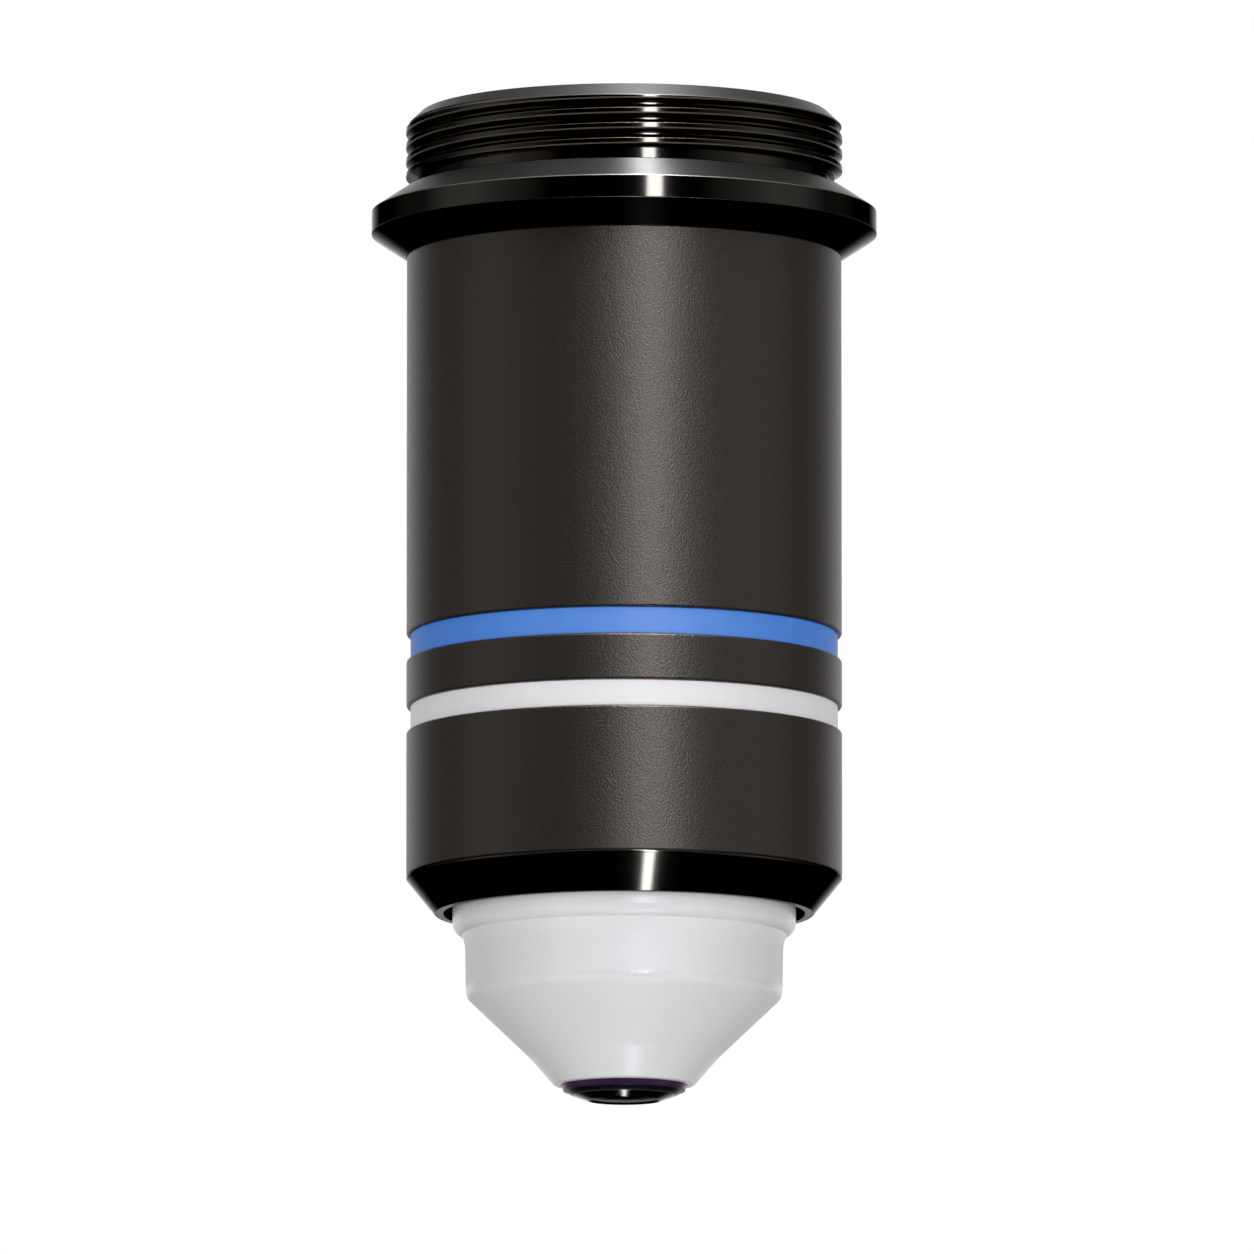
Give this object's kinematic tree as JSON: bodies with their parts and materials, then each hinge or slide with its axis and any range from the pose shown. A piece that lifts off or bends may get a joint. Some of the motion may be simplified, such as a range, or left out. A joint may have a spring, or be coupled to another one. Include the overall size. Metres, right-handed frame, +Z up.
{
  "type": "microscope objective",
  "caption": "Water-dipping microscope objective: threaded black mount, dark barrel with a blue and a white band, conical nose ring and white ceramic tip over a stack of lens cells.",
  "frame": {"origin": "centre of the mounting shoulder, on the optical axis", "axes": "+Z up the optical axis, out of the threaded end; the tip points down -Z; the part is turned, so X and Y are free"},
  "size_m": [0.0234, 0.0234, 0.0461],
  "materials": {
    "black_plating": "turned brass with glossy black plating",
    "barrel_finish": "fine-blasted and anodised dark warm grey",
    "blue_enamel": "satin blue enamel",
    "white_enamel": "satin white enamel",
    "cap_ceramic": "polished white technical ceramic",
    "seal_purple": "dark purple sealing compound",
    "oring_rubber": "matt black rubber",
    "black_cell": "turned brass, blackened",
    "screw_steel": "turned steel",
    "front_glass": "coated optical glass",
    "lens_glass": "coated optical glass",
    "cell_brass": "turned brass"
  },
  "bodies": {
    "root": {"mount_body": "black_plating", "outer_sleeve": "barrel_finish", "blue_band": "blue_enamel", "white_band": "white_enamel", "nose_ring": "black_plating", "nose_oring": "oring_rubber", "nose_cap": "cap_ceramic", "front_seal": "seal_purple", "front_cell": "black_cell", "front_lens": "front_glass", "meniscus_lens": "lens_glass", "meniscus_ring": "cell_brass", "inner_barrel": "cell_brass", "lock_ring": "cell_brass", "single_cell": "cell_brass", "single_lens": "lens_glass", "doublet_cell": "cell_brass", "doublet_crown": "lens_glass", "doublet_flint": "lens_glass", "front_spacer": "cell_brass", "triplet_cell": "cell_brass", "triplet_lower_flint": "lens_glass", "triplet_crown": "lens_glass", "triplet_upper_flint": "lens_glass", "centring_screws": "screw_steel", "middle_cell": "cell_brass", "middle_crown": "lens_glass", "middle_flint": "lens_glass", "rear_spacer": "cell_brass", "lower_rear_cell": "cell_brass", "lower_rear_crown": "lens_glass", "lower_rear_flint": "lens_glass", "upper_rear_cell": "cell_brass", "upper_rear_flint": "lens_glass", "upper_rear_crown": "lens_glass", "rear_stop": "black_cell", "rear_retainer": "black_cell"}
  },
  "joints": []
}
